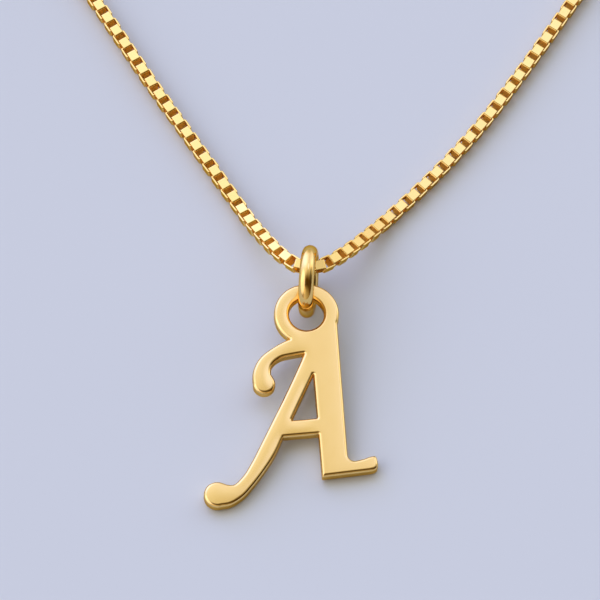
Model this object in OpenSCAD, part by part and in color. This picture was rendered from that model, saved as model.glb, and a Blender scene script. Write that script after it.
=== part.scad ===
// Initial pendant on a fine box chain, laid out flat on a surface.
// Millimetres. +Y runs from the letter's foot to the clasp, +Z up off the surface, and the
// origin is on the surface, under the middle of the whole necklace.

/* [Letter] */
// Height of the letter, from the eyelet's centre down to the stem's lower left corner
letter_h = 12.94; // [11:0.02:15]
// Thickness of the plate that the letter is cut from
plate_t = 1; // [0.8:0.05:1.3]
// Turn of the letter in its own plane, anticlockwise, in degrees
letter_turn = 6.2; // [0:0.1:12]
// Width of the stem beside the eyelet
stem_top_w = 2.1; // [1.8:0.02:2.6]
// Width of the stem at its foot
stem_foot_w = 2; // [1.6:0.02:2.4]
// Step from the eyelet's side in to the stem's right edge
stem_inset = 0.18; // [0:0.02:0.4]
// Lean of the stem's right edge, in degrees
stem_lean = 2.1; // [0:0.1:5]
// Width of the slanting leg
leg_w = 1.24; // [1:0.02:1.6]
// Height of the crossbar
bar_h = 1.3; // [0.9:0.02:1.6]
// Height of the crossbar's underside above the stem's lower left corner
bar_rise = 3.35; // [2.8:0.05:4]

/* [Letter ends] */
// Distance that the tail's ball lies left of the eyelet's centre
tail_reach = 7.96; // [7:0.02:9]
// Distance that the tail's ball lies below the stem's lower left corner
tail_drop = 0.62; // [0.3:0.02:0.9]
// Diameter of the tail's ball
tail_ball_d = 1.98; // [1.6:0.02:2.3]
// Width of the curl where it is narrowest
curl_w = 1; // [0.8:0.02:1.3]
// Distance that the curl's ball lies left of the eyelet's centre
curl_reach = 3.68; // [3.2:0.02:4.2]
// Distance that the curl's ball lies below the eyelet's centre
curl_drop = 5.22; // [4.6:0.02:5.8]
// Diameter of the curl's ball
curl_ball_d = 1.64; // [1.3:0.02:2]
// Length of the foot beyond the stem
foot_len = 2.2; // [1.6:0.02:2.6]
// Height of the foot at its end
foot_h = 1.16; // [0.9:0.02:1.4]
// Rise of the foot's underside to the right, in degrees
foot_rise = 2; // [0:0.2:5]
// Radius of the hollow corner between the stem and the foot
foot_fillet = 0.5; // [0.2:0.05:0.8]

/* [Eyelet and jump ring] */
// Outer diameter of the eyelet
eyelet_d = 4.8; // [4.6:0.1:5.4]
// Diameter of the hole in the eyelet
eyelet_hole_d = 2.57; // [2.45:0.01:3]
// Outer diameter of the jump ring
ring_d = 5.4; // [5.2:0.1:6.4]
// Diameter of the jump ring's wire
ring_wire = 1.05; // [0.9:0.05:1.2]
// Distance that the eyelet hangs left of the jump ring's middle
eyelet_shift = 0.17; // [0:0.01:0.3]
// Turn of the jump ring about the upright, in degrees
ring_yaw = -5; // [-10:1:10]
// Lean of the jump ring out of the upright, in degrees
ring_lean = 2; // [-6:1:6]
// Slope of the line from the jump ring's centre down to the eyelet's rim, in degrees
rim_slope = 28; // [15:1:45]

/* [Chain and clasp] */
// Width of the box chain across its links
chain_d = 1; // [0.8:0.05:1]
// Outer diameter of the clasp's round body
clasp_d = 6; // [5:0.1:7]
// Thickness of the clasp's round body
clasp_wire = 1.2; // [1:0.05:1.4]
// Outer diameter of each small eye on the clasp
eye_d = 2.2; // [1.8:0.1:2.6]
// Diameter of the wire of each small eye
eye_wire = 0.45; // [0.35:0.05:0.6]
// Gap between pieces that pass through each other or meet
clearance = 0.08; // [0.04:0.01:0.15]

/* [Hidden] */
gold = [0.89, 0.71, 0.36];
$fn = 64;

// Steps between two rows of a table, in every curved stretch of the letter
curve_steps = 6;
// Longest stretch of chain between two rings of its tube, and the sides of each ring
tube_step = 8.5;
tube_sides = 8;

// Slanting leg and tail. Columns: distance to the left as a share of tail_reach, depth as a
// share of the ball's depth, and width from leg_w at 0 to tail_ball_d at 1.
LEG = [
    [-0.088, 0.162, 0.00],
    [0.188, 0.457, 0.00],
    [0.414, 0.686, 0.06],
    [0.504, 0.777, 0.10],
    [0.607, 0.866, -0.09],
    [0.711, 0.941, -0.22],
    [0.819, 0.994, 0.00],
    [0.905, 1.006, 0.58],
    [1.000, 1.000, 1.00],
];
// Curl at the top left. Columns: distance to the left as a share of curl_reach, depth as a
// share of curl_drop, and width from curl_w at 0 to curl_ball_d at 1.
CURL = [
    [-0.080, 0.476, 0.60],
    [0.163, 0.473, 0.60],
    [0.418, 0.496, 0.48],
    [0.700, 0.563, 0.06],
    [0.932, 0.690, 0.18],
    [1.024, 0.866, 0.62],
    [1.000, 1.000, 1.00],
];
// Foot. Columns: distance from the stem as a share of foot_len, then the heights of the
// lower and the upper edge as shares of foot_h.
FOOT = [
    [-0.45, 0.00, 0.83],
    [0.00, 0.00, 0.83],
    [0.30, 0.00, 0.83],
    [0.58, 0.00, 0.90],
    [0.75, 0.01, 0.98],
    [0.86, 0.05, 1.00],
    [0.94, 0.15, 0.98],
    [0.99, 0.33, 0.86],
    [1.00, 0.60, 0.60],
];

// Route of the chain's middle line: from the clasp down the right side, through the jump
// ring, and up the left side back to the clasp.
ROUTE = [
    [4.75, 94.3, 0.5], [11.1, 93.5, 0.5], [28.5, 87.3, 0.5], [47.6, 71.4, 0.5],
    [58.8, 49.3, 0.5], [60.4, 24.6, 0.5], [52.0, 1.4, 0.5], [40.6, -17.3, 0.5],
    [28.8, -36.5, 0.5], [17.1, -55.6, 0.5], [13.8, -60.8, 0.5], [11.1, -64.8, 0.5],
    [8.1, -68.6, 0.5], [5.7, -71.3, 0.5], [4.1, -73.0, 0.55], [3.2, -74.03, 0.85],
    [2.4, -75.05, 1.3], [1.5, -76.16, 1.85], [0.6, -77.2, 2.4], [-0.4, -78.11, 2.8],
    [-1.2, -78.6, 2.97], [-1.9, -78.69, 3.0], [-2.8, -78.52, 2.97], [-3.5, -77.94, 2.82],
    [-4.2, -77.17, 2.52], [-4.9, -76.1, 2.08], [-5.6, -74.9, 1.53], [-6.3, -73.64, 0.97],
    [-7.0, -72.31, 0.62], [-8.3, -70.2, 0.5], [-10.9, -66.0, 0.5], [-14.1, -60.8, 0.5],
    [-17.2, -55.5, 0.5], [-28.8, -36.5, 0.5], [-40.6, -17.3, 0.5], [-52.0, 1.4, 0.5],
    [-60.4, 24.6, 0.5], [-58.8, 49.3, 0.5], [-47.6, 71.4, 0.5], [-28.5, 87.3, 0.5],
    [-11.1, 93.5, 0.5], [-4.75, 94.3, 0.5],
];
// Point of ROUTE that lies inside the jump ring
PASS = 21;

// Unit vector along v, and the plane vector v turned left by a right angle
function unit(v) = v / norm(v);
function left(v) = [-v[1], v[0]];

// Distance from row i of p to the next, along its first two columns where flat is true
function gap(p, i, flat) =
    let (v = p[i + 1] - p[i]) flat ? norm([v[0], v[1]]) : norm(v);
// Direction of the smooth curve through p at row i
function heading(p, i, flat) =
    i == 0 ? (p[1] - p[0]) / gap(p, 0, flat)
    : i == len(p) - 1 ? (p[i] - p[i - 1]) / gap(p, i - 1, flat)
    : let (a = gap(p, i - 1, flat), b = gap(p, i, flat))
        ((p[i] - p[i - 1]) * b / a + (p[i + 1] - p[i]) * a / b) / (a + b);
// Row of the smooth curve at share t of the way from row i to the next
function between(p, i, t, flat) =
    let (d = gap(p, i, flat), s = t * t * (3 - 2 * t))
        p[i] * (1 - s) + p[i + 1] * s
        + d * t * (1 - t) * ((1 - t) * heading(p, i, flat) - t * heading(p, i + 1, flat));

// Smooth rows through the rows of a letter table
function smooth(p) = [
    for (i = [0 : len(p) - 2], k = [0 : curve_steps - 1]) between(p, i, k / curve_steps, true),
    p[len(p) - 1]
];

// Outline of a stroke from rows of x, y and width
function stroke(p) =
    let (n = len(p) - 1,
        out = [for (i = [0 : n]) let (v = p[min(i + 1, n)] - p[max(i - 1, 0)])
            left(unit([v[0], v[1]])) * p[i][2] / 2])
    concat([for (i = [0 : n]) [p[i][0], p[i][1]] + out[i]],
        [for (i = [n : -1 : 0]) [p[i][0], p[i][1]] - out[i]]);

// Outline of a band from rows of x, lower height and upper height, closed at its last row
function band(p) = concat([for (r = p) [r[0], r[1]]],
    [for (i = [len(p) - 2 : -1 : 0]) [p[i][0], p[i][2]]]);

// Filling with a hollow edge of radius r, in the corner c between edges that leave it at
// angles a and b
function hollow(c, a, b, r) =
    let (m = (a + b) / 2, o = c + r / sin((b - a) / 2) * [cos(m), sin(m)], n = 8)
    concat([c - root_lap * [cos(m), sin(m)]], [for (k = [0 : n])
        let (q = a + 270 - (180 - b + a) * k / n) o + r * [cos(q), sin(q)]]);
root_lap = 0.1;

// Sizes that follow from those above. The letter's own plane has its origin at the eyelet's
// centre, with the letter upright.
eyelet_mid_r = (eyelet_d + eyelet_hole_d) / 4;
rim_w = (eyelet_d - eyelet_hole_d) / 2;
tail_y = -letter_h - tail_drop;
function stem_right(y) = eyelet_d / 2 - stem_inset + y * tan(stem_lean);
function stem_left(y) = stem_right(y) - stem_top_w - (stem_top_w - stem_foot_w) * y / letter_h;
function leg_x(y) = lookup(y, [for (r = leg_rows) [r[1], r[0]]]);
stem_corner = [stem_left(-letter_h), -letter_h];
stem_base_w = stem_right(-letter_h) - stem_corner[0];
foot_root = stem_corner + stem_base_w * [cos(foot_rise), sin(foot_rise)];
leg_rows = smooth([for (r = LEG) [-r[0] * tail_reach, r[1] * tail_y,
    leg_w + r[2] * (tail_ball_d - leg_w)]]);
curl_rows = smooth([for (r = CURL) [-r[0] * curl_reach, -r[1] * curl_drop,
    curl_w + r[2] * (curl_ball_d - curl_w)]]);
foot_rows = smooth([for (r = FOOT) [r[0] * foot_len, r[1] * foot_h, r[2] * foot_h]]);

// The letter rests on its tail and on its foot, and leans on the jump ring. rest_turn is
// the turn of the line through the two rests, and eyelet_run is the distance from that line
// to the eyelet's centre.
function turned(p, a) = [p[0] * cos(a) - p[1] * sin(a), p[0] * sin(a) + p[1] * cos(a)];
ball_at = turned([-tail_reach, tail_y], letter_turn);
foot_edge = [for (r = foot_rows)
    turned(foot_root + turned([r[0], r[1]], foot_rise), letter_turn) - ball_at];
rest_turn = min([for (v = foot_edge) atan2(v[1], v[0]) + asin(tail_ball_d / 2 / norm(v))]);
eyelet_run = max(tail_ball_d / 2 - turned(ball_at, -rest_turn)[1],
    -min([for (v = stroke(leg_rows)) turned(v, letter_turn - rest_turn)[1]]));

// The jump ring stands on its edge, with the chain against its far side and the eyelet's
// rim against its near side, rim_run from its centre.
ring_mid_r = (ring_d - ring_wire) / 2;
ring_hole_r = ring_d / 2 - ring_wire;
ring_z = ring_mid_r * cos(ring_lean) + ring_wire / 2;
chain_rise = ROUTE[PASS][2] - ring_z;
chain_run = sqrt(pow(ring_hole_r - chain_d / 2 - clearance, 2) - pow(chain_rise, 2));
ring_at = [
    ROUTE[PASS][0] + chain_run * sin(ring_yaw),
    ROUTE[PASS][1] - chain_run * cos(ring_yaw),
    ring_z
];
rim_reach = rim_w / 2 * cos(rim_slope) + plate_t / 2 * sin(rim_slope);
rim_corner = norm([rim_w, plate_t]) / 2;
rim_run = sqrt(pow(rim_reach, 2) + pow(ring_hole_r - clearance, 2) - pow(rim_corner, 2))
    - rim_reach;
rim_z = ring_z - rim_run * sin(rim_slope);
letter_tilt = asin((rim_z - plate_t / 2) / (eyelet_run + eyelet_mid_r * cos(rest_turn)));

// Centre of the eyelet on the plate's lower face
eyelet_at = [
    ring_at[0] - eyelet_shift,
    ring_at[1] - rim_run * cos(rim_slope) - eyelet_mid_r * cos(letter_tilt)
        + plate_t / 2 * sin(letter_tilt),
    eyelet_run * sin(letter_tilt)
];

// Middle line of the chain, and the rings of its tube
path = [
    for (i = [0 : len(ROUTE) - 2])
        let (n = ceil(gap(ROUTE, i, false) / tube_step))
        for (k = [0 : n - 1]) between(ROUTE, i, k / n, false),
    ROUTE[len(ROUTE) - 1]
];
tube_points = [
    for (i = [0 : len(path) - 1])
        let (ahead = unit(path[min(i + 1, len(path) - 1)] - path[max(i - 1, 0)]),
            side = unit([-ahead[1], ahead[0], 0]),
            up = cross(ahead, side))
        for (k = [0 : tube_sides - 1])
            let (a = 360 * k / tube_sides)
            path[i] + chain_d / 2 * (cos(a) * side + sin(a) * up)
];
tube_faces = concat(
    [[for (k = [0 : tube_sides - 1]) k]],
    [for (i = [0 : len(path) - 2], k = [0 : tube_sides - 1])
        let (a = i * tube_sides + k, b = i * tube_sides + (k + 1) % tube_sides)
        [a, a + tube_sides, b + tube_sides, b]],
    [[for (k = [tube_sides - 1 : -1 : 0]) (len(path) - 1) * tube_sides + k]]
);

module gilt() {
    color(gold) children();
}

// Ring of round wire, lying flat with its middle at the origin
module wire_ring(d, wire) {
    rotate_extrude() translate([(d - wire) / 2, 0]) circle(d = wire);
}

// Upright stem with the foot at its lower end
module stem() {
    top = FOOT[1][2] * foot_h;
    y = foot_root[1] + top;
    linear_extrude(plate_t) {
        polygon([[stem_left(0), 0], stem_corner, foot_root, [stem_right(0), 0]]);
        translate(foot_root) rotate(foot_rise) polygon(band(foot_rows));
        polygon(hollow([stem_right(y), y], foot_rise, 90 - stem_lean, foot_fillet));
    }
}

// Slanting leg that sweeps out into the tail and its ball
module leg() {
    linear_extrude(plate_t) polygon(stroke(leg_rows));
    translate([-tail_reach, tail_y]) cylinder(d = tail_ball_d, h = plate_t);
}

module crossbar() {
    low = -letter_h + bar_rise;
    high = low + bar_h;
    linear_extrude(plate_t)
        polygon([[leg_x(low), low], [stem_right(low) - stem_foot_w / 2, low],
            [stem_right(high) - stem_foot_w / 2, high], [leg_x(high), high]]);
}

// Curl at the top left, with its ball
module curl() {
    linear_extrude(plate_t) polygon(stroke(curl_rows));
    translate([-curl_reach, -curl_drop]) cylinder(d = curl_ball_d, h = plate_t);
}

// The letter A with its eyelet, upright, all one plate
module letter_plate() {
    difference() {
        union() {
            cylinder(d = eyelet_d, h = plate_t);
            stem();
            leg();
            crossbar();
            curl();
        }
        translate([0, 0, -plate_t]) cylinder(d = eyelet_hole_d, h = 3 * plate_t);
    }
}

// The letter where it lies
module letter() {
    gilt() translate(eyelet_at)
        rotate([0, 0, rest_turn]) rotate([letter_tilt, 0, 0]) rotate([0, 0, -rest_turn])
        rotate([0, 0, letter_turn]) letter_plate();
}

// Closed jump ring that carries the letter on the chain
module jump_ring() {
    gilt() translate(ring_at) rotate([0, 0, ring_yaw]) rotate([0, 90 - ring_lean, 0])
        wire_ring(ring_d, ring_wire);
}

// Outer form of the box chain, the whole way round
module chain() {
    gilt() polyhedron(tube_points, tube_faces);
}

// Plain round clasp with an eye at each side, one for each end of the chain
module clasp() {
    end = ROUTE[0];
    eye_x = end[0] - clearance - eye_d / 2;
    gilt() {
        translate([0, end[1], clasp_wire / 2]) wire_ring(clasp_d, clasp_wire);
        for (side = [-1, 1]) translate([side * eye_x, end[1], end[2]])
            wire_ring(eye_d, eye_wire);
    }
}

letter();
jump_ring();
chain();
clasp();
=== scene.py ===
import math

import bpy
import numpy as np
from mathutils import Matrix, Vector, geometry


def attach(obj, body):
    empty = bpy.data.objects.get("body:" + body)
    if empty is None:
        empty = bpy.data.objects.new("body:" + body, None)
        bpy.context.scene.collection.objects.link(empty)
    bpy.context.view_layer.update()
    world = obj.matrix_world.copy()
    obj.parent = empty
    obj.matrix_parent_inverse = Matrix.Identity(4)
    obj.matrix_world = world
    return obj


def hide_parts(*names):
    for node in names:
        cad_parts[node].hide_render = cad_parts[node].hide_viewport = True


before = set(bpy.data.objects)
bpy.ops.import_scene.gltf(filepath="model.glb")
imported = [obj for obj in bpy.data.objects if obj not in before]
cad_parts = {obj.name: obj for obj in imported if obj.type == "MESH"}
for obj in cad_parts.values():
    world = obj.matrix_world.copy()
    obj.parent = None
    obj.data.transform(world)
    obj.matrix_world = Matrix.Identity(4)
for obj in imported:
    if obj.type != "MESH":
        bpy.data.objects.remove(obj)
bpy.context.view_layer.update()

MM = 0.001
BODY = "root"
SEED = 7
# Least value to divide by
TINY = 1e-12

# Camera: the point in the middle of the picture, the slope of the view and the scale there
AIM = np.array([-2.615, -80.02, 0.5]) * MM
VIEW_ELEVATION = math.radians(60)
CAMERA_DISTANCE = 420 * MM
IMAGE_PIXELS = 600
PIXELS_PER_MM = 13.5
SENSOR_MM = 36
CLIP_START, CLIP_END = 0.01, 10

# Floor: half its side in metres, and its finish
FLOOR_REACH = 3.0
FLOOR_ROUGHNESS = 0.9
FLOOR_GLOSS = 0.1
FLOOR_MOTTLE = 40
FLOOR_COLORS = [(0.64, 0.69, 0.68), (0.66, 0.71, 0.70)]

# Light by direction: degrees from straight above, negative towards the front or the left,
# and the colour there. No colour is brighter than LIGHT_PEAK
LIGHT_PEAK = 2.2
FRONT_TO_BACK = [
    (-90, (0.60, 0.52, 0.40)), (-60, (0.46, 0.37, 0.23)), (-43, (0.15, 0.10, 0.04)),
    (-33, (0.10, 0.06, 0.02)), (-20, (0.17, 0.11, 0.04)), (-9, (0.45, 0.40, 0.29)),
    (3, (0.80, 0.76, 0.66)), (15, (0.96, 0.95, 0.93)), (30, (1.19, 1.27, 1.76)),
    (50, (1.24, 1.29, 1.90)), (68, (1.10, 1.15, 1.55)), (90, (0.64, 0.59, 0.48)),
]
LEFT_TO_RIGHT = [
    (-90, (0.90, 0.90, 1.00)), (-45, (1.15, 1.15, 1.50)), (-20, (1.25, 1.27, 1.60)),
    (-8, (1.12, 1.14, 1.25)), (0, (1.00, 1.00, 1.00)), (7, (0.88, 0.86, 0.80)),
    (14, (0.76, 0.74, 0.66)), (23, (0.82, 0.80, 0.72)), (35, (0.94, 0.92, 0.85)),
    (55, (1.03, 1.01, 0.98)), (90, (0.80, 0.77, 0.72)),
]
# Round glows: direction, half angle in degrees and colour
SOFTBOXES = [
    ((-0.80, -0.30, 0.50), 42, (1.30, 1.28, 1.50)),
    ((0.86, 0.35, 0.38), 25, (0.30, 0.27, 0.20)),
    ((-0.36, -0.78, 0.50), 18, (0.40, 0.33, 0.22)),
    ((0.27, 0.30, 0.91), 14, (0.42, 0.54, 1.25)),
]
# Round dark cards: direction, half angle in degrees and the share of the light left there
DARK_CARDS = [
    ((0.88, -0.08, 0.46), 30, 0.22),
]
# Part of its half angle within which a glow or a card has its full strength
SPOT_CORE = 0.35

# Golds of the letter, of the ring and clasp, and of the links: colour, roughness and
# strength of the polishing marks
GOLDS = {
    "polished_gold": ((0.905, 0.64, 0.248), 0.16, 0.12),
    "ring_gold": ((0.93, 0.64, 0.22), 0.1, 0.1),
    "link_gold": ((0.935, 0.66, 0.205), 0.15, 0.1),
}
# Colour that a gold nears where it is seen edge on
EDGE_TINT = (0.76, 0.52, 0.20)
# Hollows: how the colour changes there, which is painted bounce light, their roughness, and how
# far off a wall makes one
# The warmer colour in hollows is painted bounce light: it stands in for light reflected from
# gold wall to gold wall
PAINTED_BOUNCE_TINT = (1.05, 1.0, 0.85)
HOLLOW_ROUGHNESS = 0.7
HOLLOW_REACH = 0.7 * MM
HOLLOW_SAMPLES = 8
# Noises in a gold: scale, detail and stretch, and the part of their range that is used
HUE_NOISE = (260, 3, (1, 1, 1))
MARK_NOISE = (5200, 5, (1, 0.12, 1))
HAZE_NOISE = (700, 4, (1, 1, 1))
NOISE_LOW, NOISE_HIGH = 0.3, 0.7
# How far they move the colour and, as shares, the roughness, and how deep the marks are
HUE_DRIFT = (0.985, 0.965, 0.93)
MARK_SHARE = 0.15
HAZE_SHARE = 0.1
MARK_DEPTH = 0.002 * MM

# Lengths are in millimetres from here on, in the values and in most of the functions

# Reading the CAD letter: decimals to which points at one place agree, how many of the
# largest triangles are tried for the plate's slope, cosines that count as the same way and
# as the top's way, and the height within which a triangle belongs to the top
MERGE_DECIMALS = 4
SLOPE_TRIES = 40
SAME_WAY = 0.9999
TOP_WAY = 0.999
TOP_GAP = 0.01
# Sine of a turn in the outline that counts as straight
STRAIGHT_TURN = 2e-3

# Plate of the letter: rounding of its edges, rise of its face, and about how far from the
# outline it takes the face to rise
EDGE_RADIUS = 0.25
CROWN_HEIGHT = 0.1
CROWN_REACH = 0.42
# Corners of the outline: the least turn, radii where it turns left and right, the part of a
# side that a corner takes at most, and the degrees to a step and the least steps of its arc
CORNER_TURN = math.radians(24)
OUTER_CORNER = 0.07
INNER_CORNER = 0.035
CORNER_SHARE = 0.4
ARC_DEGREES = 14
ARC_LEAST = 3
# A side this many times as long as the next one keeps its own direction where they meet
LONG_RATIO = 3
# Mesh of the plate: steps along the outline and over the face, and rows of points on the
# rounded edge
OUTLINE_STEP = 0.07
FACE_STEP = 0.13
EDGE_ROWS = 7
# A row's points closer together than this share of a step are left out, and so are those
# nearer to the outline than this share of the row's distance from it
ROW_CROWDED = 0.3
ROW_DEPTH = 0.985
# Share of a step between the rounded edge and the face's own points
GRID_GAP = 0.5
# Points of the mesh this near to each other become one
MERGE_GAP = 1e-6
# How far inside the outline the crown is measured for the outline's own points
RIM_PROBE = 0.004
# Points handled at a time
BATCH = 2000

# Right edge of the stem: the plate is nearly flat beside it, and fully crowned further off
STEM_EDGE = np.array([[0.45, -82.24], [0.76, -92.04]])
STEM_CROWN = 0.2
CROWN_FROM, CROWN_FULL = 1.9, 3.1

# Jump ring: thickness of its wire along the ring's axis against its thickness across, the
# sides of its mesh, and a direction well away from the axis
WIRE_SWELL = 1.08
RING_AROUND = 256
RING_ACROSS = 64
OFF_AXIS = [0.3, 0.2, 1.0]

# Links of the box chain: a strip folded into a square frame
LINK_SIDE = 1.01
LINK_LENGTH = 0.94
STRIP_WIDTH = 0.69
STRIP_THICKNESS = 0.13
LINK_CORNER = 0.13
STRIP_BEVEL = 0.03
CORNER_STEPS = 4
LINK_PITCH = 0.667
# Spread of a link's turn about the chain's run and sideways, and how many times the first
# spread the chain keeps room for above the floor
LINK_ROLL = math.radians(1.0)
LINK_SWING = math.radians(1.2)
MOST_ROLLS = 3
# Most that each side of the chain is turned about its run, so that its top faces the front
LINK_LEAN = {"right": math.radians(15), "left": math.radians(8)}
# Middle of the last link, in the clasp's eye
END_LINK_X = 4.55

# Route of the chain's middle line, from the clasp down the right side, through the jump
# ring, and up the left side back to the clasp
ROUTE = np.array([
    [4.75, 94.3, 0.5], [11.1, 93.5, 0.5], [28.5, 87.3, 0.5], [47.6, 71.4, 0.5],
    [58.8, 49.3, 0.5], [60.4, 24.6, 0.5], [52.0, 1.4, 0.5], [40.6, -17.3, 0.5],
    [28.8, -36.5, 0.5], [17.1, -55.6, 0.5], [13.8, -60.8, 0.5], [11.1, -64.8, 0.5],
    [8.1, -68.6, 0.5], [5.7, -71.3, 0.5], [4.1, -73.0, 0.55], [3.2, -74.03, 0.85],
    [2.4, -75.05, 1.3], [1.5, -76.16, 1.85], [0.6, -77.2, 2.4], [-0.4, -78.11, 2.8],
    [-1.2, -78.6, 2.97], [-1.9, -78.69, 3.0], [-2.8, -78.52, 2.97], [-3.5, -77.94, 2.82],
    [-4.2, -77.17, 2.52], [-4.9, -76.1, 2.08], [-5.6, -74.9, 1.53], [-6.3, -73.64, 0.97],
    [-7.0, -72.31, 0.62], [-8.3, -70.2, 0.5], [-10.9, -66.0, 0.5], [-14.1, -60.8, 0.5],
    [-17.2, -55.5, 0.5], [-28.8, -36.5, 0.5], [-40.6, -17.3, 0.5], [-52.0, 1.4, 0.5],
    [-60.4, 24.6, 0.5], [-58.8, 49.3, 0.5], [-47.6, 71.4, 0.5], [-28.5, 87.3, 0.5],
    [-11.1, 93.5, 0.5], [-4.75, 94.3, 0.5],
])
ROUTE_STEP = 0.05
# Number of the route's point in the middle of the jump ring
PASS = 21


# Lines and meshes

def unit(v):
    """Unit vectors along the last axis."""
    v = np.asarray(v, float)
    return v / np.maximum(np.linalg.norm(v, axis=-1, keepdims=True), TINY)


def along_loop(loop):
    """Direction of a closed loop at each of its points."""
    return unit(np.roll(loop, -1, axis=0) - np.roll(loop, 1, axis=0))


def bent_side(start, end, leaving, arriving, length, step):
    """Points about a step apart from one point to just before the next, on a smooth curve
    that leaves and arrives in the given directions."""
    count = max(1, int(math.ceil(length / step)))
    t = (np.arange(count) / count)[:, None]
    s = t * t * (3 - 2 * t)
    return (start * (1 - s) + end * s
            + length * t * (1 - t) * ((1 - t) * leaving - t * arriving))


def border_edges(triangles):
    """Edges with a triangle of the patch on their left and none on their right."""
    edges = dict.fromkeys((t[k - 1], t[k]) for t in triangles.tolist() for k in (1, 2, 0))
    return [(a, b) for a, b in edges if (b, a) not in edges]


def node_mesh(name):
    """Points of a CAD node in millimetres, with those at one place merged, and its triangles."""
    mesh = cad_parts[name].data
    mesh.calc_loop_triangles()
    points = np.array([v.co for v in mesh.vertices]) / MM
    triangles = np.array([t.vertices for t in mesh.loop_triangles])
    _, first, same = np.unique(np.round(points, MERGE_DECIMALS), axis=0, return_index=True,
                               return_inverse=True)
    triangles = same.reshape(-1)[triangles]
    distinct = ((triangles[:, 0] != triangles[:, 1]) & (triangles[:, 1] != triangles[:, 2])
                & (triangles[:, 2] != triangles[:, 0]))
    return points[first], triangles[distinct]


def add_mesh(name, points, faces, normals, material):
    """New smooth object from points in metres, with its own normal at each point."""
    mesh = bpy.data.meshes.new(name)
    mesh.from_pydata(np.asarray(points).tolist(), [], [list(map(int, f)) for f in faces])
    mesh.polygons.foreach_set("use_smooth", [True] * len(mesh.polygons))
    mesh.materials.append(material)
    mesh.update()
    mesh.normals_split_custom_set_from_vertices(unit(normals).tolist())
    piece = bpy.data.objects.new(name, mesh)
    bpy.context.scene.collection.objects.link(piece)
    return piece


def stand_for(piece, node):
    """The piece rides on the one body, in place of the CAD node."""
    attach(piece, BODY)
    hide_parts(node)


# Materials

def node_tree(material):
    """The material's nodes and links, with nodes turned on."""
    material.use_nodes = True
    return material.node_tree.nodes, material.node_tree.links


def gold(name, color, roughness, wear):
    """Polished gold plate: fine directional polishing marks, a slow drift of hue and gloss,
    a rougher finish in hollows, and there a warmer colour: painted bounce light between gold
    walls."""
    material = bpy.data.materials.new(name)
    nodes, links = node_tree(material)
    shader = nodes["Principled BSDF"]
    shader.inputs["Metallic"].default_value = 1.0
    shader.inputs["Specular Tint"].default_value = (*EDGE_TINT, 1)

    place = nodes.new("ShaderNodeTexCoord")

    def noise(scale, detail, stretch):
        """Noise fixed to the object."""
        mapping = nodes.new("ShaderNodeMapping")
        mapping.inputs["Scale"].default_value = stretch
        links.new(place.outputs["Object"], mapping.inputs["Vector"])
        texture = nodes.new("ShaderNodeTexNoise")
        texture.inputs["Scale"].default_value = scale
        texture.inputs["Detail"].default_value = detail
        links.new(mapping.outputs["Vector"], texture.inputs["Vector"])
        return texture.outputs["Fac"]

    def ramp(source, low, high):
        """The used part of a source's range, spread from one value to another."""
        spread = nodes.new("ShaderNodeMapRange")
        spread.inputs["From Min"].default_value = NOISE_LOW
        spread.inputs["From Max"].default_value = NOISE_HIGH
        spread.inputs["To Min"].default_value = low
        spread.inputs["To Max"].default_value = high
        links.new(source, spread.inputs["Value"])
        return spread.outputs["Result"]

    def tinted(tint):
        """The colour times a tint."""
        return (*[c * t for c, t in zip(color, tint)], 1)

    hue = nodes.new("ShaderNodeMix")
    hue.data_type = "RGBA"
    hue.inputs["A"].default_value = (*color, 1)
    hue.inputs["B"].default_value = tinted(HUE_DRIFT)
    links.new(ramp(noise(*HUE_NOISE), 0, 1), hue.inputs["Factor"])

    # How open each point is: it sets the rougher finish of hollows and their painted bounce
    # light
    open_share = nodes.new("ShaderNodeAmbientOcclusion")
    open_share.only_local = True
    open_share.samples = HOLLOW_SAMPLES
    open_share.inputs["Distance"].default_value = HOLLOW_REACH
    openness = ramp(open_share.outputs["AO"], 0, 1)
    # Painted bounce light: the base colour turns warmer in hollows, in place of light reflected
    # between gold walls
    deep = nodes.new("ShaderNodeMix")
    deep.data_type = "RGBA"
    deep.inputs["A"].default_value = tinted(PAINTED_BOUNCE_TINT)
    links.new(hue.outputs["Result"], deep.inputs["B"])
    links.new(openness, deep.inputs["Factor"])
    links.new(deep.outputs["Result"], shader.inputs["Base Color"])

    marks = noise(*MARK_NOISE)
    haze = noise(*HAZE_NOISE)
    gloss = nodes.new("ShaderNodeMath")
    gloss.operation = "ADD"
    links.new(ramp(marks, roughness * (1 - MARK_SHARE), roughness * (1 + MARK_SHARE)),
              gloss.inputs[0])
    links.new(ramp(haze, -HAZE_SHARE * roughness, HAZE_SHARE * roughness), gloss.inputs[1])
    dull = nodes.new("ShaderNodeMix")
    dull.inputs["A"].default_value = HOLLOW_ROUGHNESS
    links.new(gloss.outputs["Value"], dull.inputs["B"])
    links.new(openness, dull.inputs["Factor"])
    links.new(dull.outputs["Result"], shader.inputs["Roughness"])

    bump = nodes.new("ShaderNodeBump")
    bump.inputs["Strength"].default_value = wear
    bump.inputs["Distance"].default_value = MARK_DEPTH
    links.new(marks, bump.inputs["Height"])
    links.new(bump.outputs["Normal"], shader.inputs["Normal"])
    return material


def plain_floor(name):
    """Matt pale surface with the faintest mottling."""
    material = bpy.data.materials.new(name)
    nodes, links = node_tree(material)
    shader = nodes["Principled BSDF"]
    shader.inputs["Roughness"].default_value = FLOOR_ROUGHNESS
    shader.inputs["Specular IOR Level"].default_value = FLOOR_GLOSS
    texture = nodes.new("ShaderNodeTexNoise")
    texture.inputs["Scale"].default_value = FLOOR_MOTTLE
    ramp = nodes.new("ShaderNodeValToRGB")
    for element, color in zip(ramp.color_ramp.elements, FLOOR_COLORS):
        element.color = (*color, 1)
    links.new(texture.outputs["Fac"], ramp.inputs["Fac"])
    links.new(ramp.outputs["Color"], shader.inputs["Base Color"])
    return material


# Outline of the letter

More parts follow.
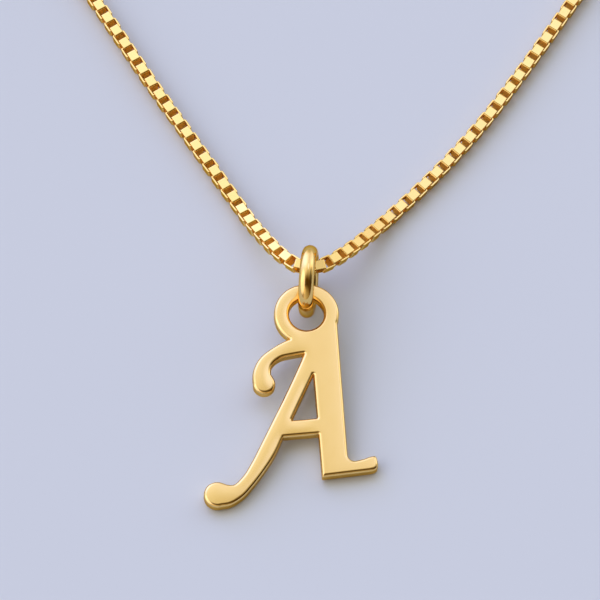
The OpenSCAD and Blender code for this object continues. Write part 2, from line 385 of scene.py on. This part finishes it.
def flat_side(points, triangles):
    """Normal of the plate, its top face's triangles and its thickness."""
    corners = points[triangles]
    cross = np.cross(corners[:, 1] - corners[:, 0], corners[:, 2] - corners[:, 0])
    area = np.linalg.norm(cross, axis=1)
    normals = cross / np.maximum(area, TINY)[:, None]
    best = None
    for i in np.argsort(-area)[:SLOPE_TRIES]:
        if normals[i, 2] > 0:
            total = area[normals @ normals[i] > SAME_WAY].sum()
            if best is None or total > best[0]:
                best = (total, normals[i])
    up = best[1]
    height = points @ up
    upmost = np.abs(height[triangles].mean(1) - height.max()) < TOP_GAP
    top = (normals @ up > TOP_WAY) & upmost
    return up, triangles[top], np.ptp(height)


def border_loops(triangles):
    """Loops of point numbers round a patch of triangles, with the patch on their left."""
    after = dict(border_edges(triangles))
    loops = []
    while after:
        start, step = after.popitem()
        loop = [start]
        while step != start:
            loop.append(step)
            step = after.pop(step)
        loops.append(loop)
    return loops


def without_straight(loop):
    """The loop without points that lie on a straight line between their neighbours."""
    keep = []
    for i, p in enumerate(loop):
        a = unit(p - loop[i - 1])
        b = unit(loop[(i + 1) % len(loop)] - p)
        if abs(a[0] * b[1] - a[1] * b[0]) > STRAIGHT_TURN or a @ b < 0:
            keep.append(p)
    return np.array(keep)


def turns(loop):
    """Signed turn at each point of a closed loop, and the lengths before and after it."""
    before = loop - np.roll(loop, 1, axis=0)
    after = np.roll(loop, -1, axis=0) - loop
    turn = np.arctan2(before[:, 0] * after[:, 1] - before[:, 1] * after[:, 0],
                      (before * after).sum(1))
    return turn, np.linalg.norm(before, axis=1), np.linalg.norm(after, axis=1)


def eased_corners(loop):
    """The loop with a small arc at each corner."""
    turn, before, after = turns(loop)
    out = []
    for i, p in enumerate(loop):
        if abs(turn[i]) < CORNER_TURN:
            out.append(p)
            continue
        radius = OUTER_CORNER if turn[i] > 0 else INNER_CORNER
        reach = min(radius * math.tan(abs(turn[i]) / 2),
                    CORNER_SHARE * before[i], CORNER_SHARE * after[i])
        start = p + reach * unit(loop[i - 1] - p)
        end = p + reach * unit(loop[(i + 1) % len(loop)] - p)
        steps = max(ARC_LEAST, int(math.degrees(abs(turn[i])) / ARC_DEGREES))
        for k in range(steps + 1):
            t = k / steps
            out.append((1 - t) ** 2 * start + 2 * t * (1 - t) * p + t ** 2 * end)
    return np.array(out)


def even_loop(loop):
    """Smooth closed curve through the loop's points, with points about a step apart."""
    _, before, after = turns(loop)
    ahead = unit(np.roll(loop, -1, axis=0) - loop)
    behind = unit(loop - np.roll(loop, 1, axis=0))
    heading = unit(behind * after[:, None] + ahead * before[:, None])
    heading = np.where((before > LONG_RATIO * after)[:, None], behind, heading)
    heading = np.where((after > LONG_RATIO * before)[:, None], ahead, heading)
    out = []
    for i in range(len(loop)):
        j = (i + 1) % len(loop)
        out.append(bent_side(loop[i], loop[j], heading[i], heading[j], after[i], OUTLINE_STEP))
    return np.concatenate(out)


def letter_plane():
    """Top plane of the CAD letter: a point in it, its own axes to the right, ahead and up,
    the plate's thickness, and the letter's outline as loops in the first two axes."""
    points, triangles = node_mesh("letter")
    up, top, thickness = flat_side(points, triangles)
    right = unit(np.cross([0, 1, 0], up))
    ahead = np.cross(up, right)
    origin = points[top[0, 0]]
    flat = np.stack([(points - origin) @ right, (points - origin) @ ahead], 1)
    loops = [even_loop(eased_corners(without_straight(flat[loop])))
             for loop in border_loops(top)]
    return origin, np.stack([right, ahead, up]), thickness, loops


# Face of the letter

def nearest_on(loops, points):
    """Distance from each point to the loops, the way from there to the point, and the share
    of a soft round spot about the point that lies outside, with its slope."""
    distance = np.full(len(points), np.inf)
    way = np.zeros((len(points), 2))
    outside = np.zeros(len(points))
    slope = np.zeros((len(points), 2))
    for loop in loops:
        run = np.roll(loop, -1, axis=0) - loop
        length = np.linalg.norm(run, axis=1)
        normal = np.stack([run[:, 1], -run[:, 0]], 1) / length[:, None]
        for k in range(0, len(points), BATCH):
            rows = slice(k, k + BATCH)
            off = points[rows, None] - loop[None]
            t = np.clip((off * run).sum(2) / length ** 2, 0, 1)
            away = off - t[..., None] * run
            gap = np.linalg.norm(away, axis=2)
            best = gap.argmin(1)
            each = np.arange(len(best))
            closer = gap[each, best] < distance[rows]
            distance[rows] = np.where(closer, gap[each, best], distance[rows])
            way[rows][closer] = away[each, best][closer]
            ahead = off - run
            angle = np.arctan2(off[..., 0] * ahead[..., 1] - off[..., 1] * ahead[..., 0],
                               (off * ahead).sum(2))
            middle = ((off + ahead) ** 2).sum(2) / 4
            spot = np.exp(-middle / (2 * CROWN_REACH ** 2))
            outside[rows] += (angle * spot).sum(1) / (2 * np.pi)
            slope[rows] += (spot * length) @ normal / (2 * np.pi * CROWN_REACH ** 2)
    return distance, way, outside, slope


def inside(loops, points):
    """Whether each point is inside the outline, counting crossings of its loops."""
    odd = np.zeros(len(points), bool)
    for loop in loops:
        a = loop
        b = np.roll(loop, -1, axis=0)
        rise = b[:, 1] - a[:, 1]
        rise = np.where(rise == 0, TINY, rise)
        for k in range(0, len(points), BATCH):
            p = points[k:k + BATCH]
            spans = (a[None, :, 1] > p[:, None, 1]) != (b[None, :, 1] > p[:, None, 1])
            x = a[:, 0] + (p[:, None, 1] - a[:, 1]) / rise * (b[:, 0] - a[:, 0])
            odd[k:k + BATCH] ^= (spans & (x > p[:, None, 0])).sum(1) % 2 == 1
    return odd


def edge_rows(loops):
    """Rows of points that follow the outline over the plate's rounded edge."""
    kept = []
    for k in range(1, EDGE_ROWS + 1):
        depth = EDGE_RADIUS * (1 - math.sin(math.pi / 2 * (1 - k / EDGE_ROWS)))
        for loop in loops:
            along = along_loop(loop)
            row = loop + depth * np.stack([-along[:, 1], along[:, 0]], 1)
            step = np.linalg.norm(row - np.roll(row, 1, axis=0), axis=1)
            row = row[step > ROW_CROWDED * OUTLINE_STEP]
            distance = nearest_on(loops, row)[0]
            kept.append(row[(distance > depth * ROW_DEPTH) & inside(loops, row)])
    return np.concatenate(kept)


def face_grid(loops):
    """Triangular grid of points on the plate's face, within its rounded edge."""
    outline = np.concatenate(loops)
    low = outline.min(0)
    high = outline.max(0)
    across = np.arange(low[0], high[0], FACE_STEP)
    down = np.arange(low[1], high[1], FACE_STEP * math.sqrt(3) / 2)
    grid = np.stack(np.meshgrid(across, down), -1)
    grid[1::2, :, 0] += FACE_STEP / 2
    grid = grid.reshape(-1, 2)
    grid = grid[inside(loops, grid)]
    return grid[nearest_on(loops, grid)[0] > EDGE_RADIUS + GRID_GAP * FACE_STEP]


def face_mesh(loops):
    """Points and triangles that fill the outline, whether each point is on the outline, and
    the way out at those that are."""
    outline = np.concatenate(loops)
    along = np.concatenate([along_loop(loop) for loop in loops])
    outward = np.stack([along[:, 1], -along[:, 0]], 1)
    sites = np.concatenate([outline, edge_rows(loops), face_grid(loops)])
    borders = []
    first = 0
    for loop in loops:
        count = len(loop)
        borders += [(first + i, first + (i + 1) % count) for i in range(count)]
        first += count
    made = geometry.delaunay_2d_cdt([Vector(p) for p in sites], borders, [], 0, MERGE_GAP)
    sites = np.array(made[0])
    faces = np.array(made[2])
    source = np.array([min(same) if same else len(outline) for same in made[3]])
    faces = faces[inside(loops, sites[faces].mean(1))]
    rim = source < len(outline)
    return sites, faces, rim, outward[source[rim]]


def crown_share(place):
    """How much of the crown a place on the plate has, from its distance to the stem's edge,
    and the slope of that share."""
    along = unit(STEM_EDGE[1] - STEM_EDGE[0])
    off = place[:, :2] - STEM_EDGE[0]
    distance = off @ [-along[1], along[0]]
    side = np.sign(distance[np.abs(distance).argmax()])
    t = np.clip((side * distance - CROWN_FROM) / (CROWN_FULL - CROWN_FROM), 0, 1)
    share = STEM_CROWN + (1 - STEM_CROWN) * t * t * (3 - 2 * t)
    rise = (1 - STEM_CROWN) * 6 * t * (1 - t) / (CROWN_FULL - CROWN_FROM) * side
    return share, rise[:, None] * [-along[1], along[0]]


def rounded_face(loops, sites, rim, outward, place):
    """How far each point of the top lies under the CAD plate's top, how far each point of
    the underside lies above its underside, and the normals of the two."""
    probe = sites.copy()
    probe[rim] -= RIM_PROBE * outward
    distance, way, outside, slope = nearest_on(loops, probe)
    out = -unit(way)
    distance[rim] = 0
    out[rim] = outward
    sine = 1 - np.clip(distance, 0, EDGE_RADIUS) / EDGE_RADIUS
    rounding = EDGE_RADIUS * (1 - np.sqrt(1 - sine ** 2))
    share, share_slope = crown_share(place)
    crown = CROWN_HEIGHT * (share[:, None] * slope + outside[:, None] * share_slope)
    drop = rounding + CROWN_HEIGHT * share * outside
    tilt = np.arcsin(np.clip(sine, 0, 1))
    side_normal = np.concatenate([out, np.zeros((len(sites), 1))], 1)
    edge_normal = np.sin(tilt)[:, None] * side_normal
    flat_normal = np.concatenate([crown, np.ones((len(sites), 1))], 1)
    normals = unit(np.cos(tilt)[:, None] * unit(flat_normal) + edge_normal)
    under = np.cos(tilt)[:, None] * [0, 0, -1] + edge_normal
    return drop, rounding, normals, under


def letter_piece(material):
    """The letter's plate with rounded, faintly crowned faces, on the CAD plate's outline."""
    origin, axes, thickness, loops = letter_plane()
    right, ahead, up = axes
    sites, faces, rim, outward = face_mesh(loops)
    place = origin + sites[:, :1] * right + sites[:, 1:] * ahead
    drop, rounding, normals, under = rounded_face(loops, sites, rim, outward, place)

    used = np.unique(faces)
    count = len(used)
    number = np.full(len(sites), -1)
    number[used] = np.arange(count)
    top_faces = number[faces]
    wall = [[a, a + count, b + count, b] for a, b in border_edges(top_faces)]
    heights = (-drop, rounding - thickness)
    all_points = np.concatenate([((place + height[:, None] * up) * MM)[used]
                                 for height in heights])
    all_faces = top_faces.tolist() + (top_faces[:, ::-1] + count).tolist() + wall
    all_normals = np.concatenate([normals[used] @ axes, under[used] @ axes])
    return add_mesh("letter_plate", all_points, all_faces, all_normals, material)


# Jump ring

def torus(centre, axis, mid_radius, wire_radius):
    """Points, faces and normals of a ring of round wire, swollen along its axis."""
    axis = unit(axis)
    first = unit(np.cross(axis, OFF_AXIS))
    second = np.cross(axis, first)
    a = np.linspace(0, 2 * np.pi, RING_AROUND, endpoint=False)[:, None, None]
    b = np.linspace(0, 2 * np.pi, RING_ACROSS, endpoint=False)[None, :, None]
    out = np.cos(a) * first + np.sin(a) * second
    normals = np.cos(b) * out + np.sin(b) / WIRE_SWELL * axis
    section = np.cos(b) * out + np.sin(b) * WIRE_SWELL * axis
    points = centre + mid_radius * out + wire_radius * section
    i, j = np.meshgrid(np.arange(RING_AROUND), np.arange(RING_ACROSS), indexing="ij")
    row = i.ravel() * RING_ACROSS
    next_row = (i.ravel() + 1) % RING_AROUND * RING_ACROSS
    column = j.ravel()
    next_column = (column + 1) % RING_ACROSS
    faces = np.stack([row + column, next_row + column, next_row + next_column,
                      row + next_column], 1)
    return points.reshape(-1, 3), faces, normals.reshape(-1, 3)


def ring_piece(material):
    """Ring of round wire in the place of the CAD jump ring."""
    points, _ = node_mesh("jump_ring")
    centre = points.mean(0)
    spread = points - centre
    axis = np.linalg.svd(spread, full_matrices=False)[2][2]
    flat = spread - (spread @ axis)[:, None] * axis
    outer = np.linalg.norm(flat, axis=1).max()
    wire = np.ptp(spread @ axis) / 2
    shape = torus(centre * MM, axis, (outer - wire) * MM, wire * MM)
    return add_mesh("ring", *shape, material)


# Chain

def route_curve():
    """Points along the route's smooth curve, in millimetres, and the place of PASS in it."""
    run = np.diff(ROUTE, axis=0)
    length = np.linalg.norm(run, axis=1)
    heading = np.empty_like(ROUTE)
    heading[0] = run[0] / length[0]
    heading[-1] = run[-1] / length[-1]
    a = length[:-1, None]
    b = length[1:, None]
    heading[1:-1] = (run[:-1] * b / a + run[1:] * a / b) / (a + b)
    sides = [bent_side(ROUTE[i], ROUTE[i + 1], heading[i], heading[i + 1], length[i], ROUTE_STEP)
             for i in range(len(run))]
    curve = np.concatenate(sides + [ROUTE[-1:]])
    lean = max(LINK_LEAN.values()) + MOST_ROLLS * LINK_ROLL
    lowest = LINK_SIDE / 2 * math.cos(lean) + STRIP_WIDTH / 2 * math.sin(lean)
    curve[:, 2] = np.maximum(curve[:, 2], lowest)
    return curve, sum(len(side) for side in sides[:PASS])


def strip_section():
    """Corners of the strip's section, each as its place and the way it faces: outwards from
    the link's outer face, and in height."""
    half = STRIP_WIDTH / 2
    low = half - STRIP_BEVEL
    outer = -STRIP_BEVEL
    inner = STRIP_BEVEL - STRIP_THICKNESS
    deep = -STRIP_THICKNESS
    return [(0, low, 1, 0), (outer, half, 0, 1), (inner, half, 0, 1), (deep, low, -1, 0),
            (deep, -low, -1, 0), (inner, -half, 0, -1), (outer, -half, 0, -1), (0, -low, 1, 0)]


def link_shape():
    """One link about its middle, with its opening along the third axis: points, normals and
    faces."""
    corners = []
    outward = []
    long = LINK_LENGTH / 2 - LINK_CORNER
    wide = LINK_SIDE / 2 - LINK_CORNER
    for quarter in range(4):
        a = quarter * math.pi / 2 + math.pi / 4
        corner = np.array([math.copysign(long, math.cos(a)), math.copysign(wide, math.sin(a))])
        for k in range(CORNER_STEPS + 1):
            q = quarter * math.pi / 2 + k * math.pi / 2 / CORNER_STEPS
            corners.append(corner)
            outward.append([math.cos(q), math.sin(q)])
    corners = np.array(corners)
    outward = np.array(outward)
    section = strip_section()
    count = len(corners)
    rows = len(section)
    points = []
    normals = []
    for depth, height, face_out, face_up in section:
        points.append(np.column_stack([corners + (LINK_CORNER + depth) * outward,
                                       np.full(count, height)]))
        normals.append(np.column_stack([face_out * outward, np.full(count, face_up)]))
    faces = [[r * count + i, r * count + (i + 1) % count,
              (r + 1) % rows * count + (i + 1) % count, (r + 1) % rows * count + i]
             for r in range(rows) for i in range(count)]
    return np.concatenate(points), np.concatenate(normals), np.array(faces)


def link_axes(forward, lean, random):
    """A link's axes along the chain, to its side and up, a little rolled and swung."""
    side = unit(np.cross([0, 0, 1], forward))
    up = np.cross(forward, side)
    roll = random.normal(0, LINK_ROLL) + lean * side[1]
    swing = random.normal(0, LINK_SWING)
    side, up = (math.cos(roll) * side + math.sin(roll) * up,
                math.cos(roll) * up - math.sin(roll) * side)
    forward, side = (math.cos(swing) * forward + math.sin(swing) * side,
                     math.cos(swing) * side - math.sin(swing) * forward)
    return forward, side, up


def chain_side(name, curve, first, lean, random, material):
    """Interlocked links from the jump ring along a curve to the clasp. The curve starts where
    the chain passes through the ring, and ends at its last link's middle. The link in the
    ring is number 0, and every other link is turned on its side."""
    reach = np.concatenate([[0], np.cumsum(np.linalg.norm(np.diff(curve, axis=0), axis=1))])
    count = int(round(reach[-1] / LINK_PITCH))
    count += 1 - count % 2
    pitch = reach[-1] / count

    def at(distance):
        """Point of the curve at a distance along it."""
        return np.array([np.interp(distance, reach, curve[:, k]) for k in range(3)])

    shape, shape_normals, shape_faces = link_shape()
    points = []
    normals = []
    faces = []
    for i in range(first, count + 1):
        s = i * pitch
        forward, side, up = link_axes(unit(at(s + pitch / 2) - at(s - pitch / 2)), lean, random)
        axes = np.stack([forward, up, side] if i % 2 else [forward, side, up])
        points.append(at(s) + shape @ axes)
        normals.append(shape_normals @ axes)
        turned = shape_faces[:, ::-1] if i % 2 else shape_faces
        faces.append(turned + len(shape) * (i - first))
    return add_mesh(name, np.concatenate(points) * MM, np.concatenate(faces),
                    np.concatenate(normals), material)


def chain_pieces(material):
    """The chain's two sides, from the jump ring to the clasp's eyes. The link in the ring is
    part of the right side."""
    curve, ring_row = route_curve()
    random = np.random.default_rng(SEED)
    pieces = []
    for side, way, first, end_x in (("right", curve[ring_row::-1], 0, END_LINK_X),
                                    ("left", curve[ring_row:], 1, -END_LINK_X)):
        way = np.vstack([way, [end_x, way[-1, 1], way[-1, 2]]])
        pieces.append(chain_side("chain_" + side, way, first, LINK_LEAN[side], random, material))
    return pieces


# Camera, light and floor

def camera():
    """Camera at the photograph's viewing angle, which shows AIM in the middle."""
    data = bpy.data.cameras.new("camera")
    data.sensor_width = SENSOR_MM
    distance_px = CAMERA_DISTANCE / MM * PIXELS_PER_MM
    data.lens = SENSOR_MM * distance_px / IMAGE_PIXELS
    data.clip_start = CLIP_START
    data.clip_end = CLIP_END
    back = Vector((0, -math.cos(VIEW_ELEVATION), math.sin(VIEW_ELEVATION)))
    seen = bpy.data.objects.new("camera", data)
    seen.location = Vector(AIM) + CAMERA_DISTANCE * back
    seen.rotation_mode = "QUATERNION"
    seen.rotation_quaternion = (-back).to_track_quat("-Z", "Y")
    bpy.context.scene.collection.objects.link(seen)
    bpy.context.scene.camera = seen


def light_tent():
    """Soft studio light by direction: how it runs from the front over the top to the back,
    times how it runs from the left to the right, with dark cards and glows in it."""
    world = bpy.data.worlds.new("studio")
    bpy.context.scene.world = world
    world.use_nodes = True
    nodes, links = world.node_tree.nodes, world.node_tree.links
    place = nodes.new("ShaderNodeTexCoord")
    apart = nodes.new("ShaderNodeSeparateXYZ")
    links.new(place.outputs["Generated"], apart.inputs["Vector"])

    def run(axis, stops):
        """Colours by the angle from the upright plane across an axis."""
        half = nodes.new("ShaderNodeMath")
        half.operation = "MULTIPLY_ADD"
        half.inputs[1].default_value = 0.5
        half.inputs[2].default_value = 0.5
        links.new(apart.outputs[axis], half.inputs[0])
        ramp = nodes.new("ShaderNodeValToRGB")
        ramp.color_ramp.interpolation = "CARDINAL"
        elements = ramp.color_ramp.elements
        while len(elements) < len(stops):
            elements.new(0.5)
        for element, (degrees, color) in zip(elements, stops):
            element.position = math.sin(math.radians(degrees)) / 2 + 0.5
            element.color = (*[c / LIGHT_PEAK for c in color], 1)
        links.new(half.outputs["Value"], ramp.inputs["Fac"])
        return ramp.outputs["Color"]

    def mixed(way, first, second):
        """Two colours multiplied or added."""
        mix = nodes.new("ShaderNodeMix")
        mix.data_type = "RGBA"
        mix.blend_type = way
        mix.clamp_result = False
        mix.inputs["Factor"].default_value = 1
        links.new(first, mix.inputs["A"])
        links.new(second, mix.inputs["B"])
        return mix.outputs["Result"]

    def spot(direction, half_angle, around, middle):
        """Value that changes softly from the one around to the one in the middle of a spot."""
        dot = nodes.new("ShaderNodeVectorMath")
        dot.operation = "DOT_PRODUCT"
        dot.inputs[1].default_value = Vector(direction).normalized()
        links.new(place.outputs["Generated"], dot.inputs[0])
        fade = nodes.new("ShaderNodeMapRange")
        fade.interpolation_type = "SMOOTHERSTEP"
        fade.inputs["From Min"].default_value = math.cos(math.radians(half_angle))
        fade.inputs["From Max"].default_value = math.cos(math.radians(SPOT_CORE * half_angle))
        fade.inputs["To Min"].default_value = around
        fade.inputs["To Max"].default_value = middle
        links.new(dot.outputs["Value"], fade.inputs["Value"])
        return fade.outputs["Result"]

    def softbox(direction, half_angle, color):
        """Round glow of a colour."""
        tint = nodes.new("ShaderNodeVectorMath")
        tint.operation = "SCALE"
        tint.inputs[0].default_value = [c / LIGHT_PEAK ** 2 for c in color]
        links.new(spot(direction, half_angle, 0, 1), tint.inputs["Scale"])
        return tint.outputs["Vector"]

    light = mixed("MULTIPLY", run("Y", FRONT_TO_BACK), run("X", LEFT_TO_RIGHT))
    for direction, half_angle, left in DARK_CARDS:
        light = mixed("MULTIPLY", light, spot(direction, half_angle, 1, left))
    for direction, half_angle, color in SOFTBOXES:
        light = mixed("ADD", light, softbox(direction, half_angle, color))
    background = nodes["Background"]
    background.inputs["Strength"].default_value = LIGHT_PEAK ** 2
    links.new(light, background.inputs["Color"])


def floor():
    """Wide flat floor at height 0."""
    mesh = bpy.data.meshes.new("floor")
    corners = [(x * FLOOR_REACH, y * FLOOR_REACH, 0)
               for x, y in ((-1, -1), (1, -1), (1, 1), (-1, 1))]
    mesh.from_pydata(corners, [], [(0, 1, 2, 3)])
    mesh.materials.append(plain_floor("floor_finish"))
    surface = bpy.data.objects.new("floor", mesh)
    bpy.context.scene.collection.objects.link(surface)


camera()
light_tent()
floor()
bpy.context.scene.view_settings.view_transform = "Standard"

golds = {name: gold(name, *finish) for name, finish in GOLDS.items()}

stand_for(letter_piece(golds["polished_gold"]), "letter")
stand_for(ring_piece(golds["ring_gold"]), "jump_ring")
for piece in chain_pieces(golds["link_gold"]):
    stand_for(piece, "chain")

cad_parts["clasp"].data.materials.clear()
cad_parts["clasp"].data.materials.append(golds["ring_gold"])
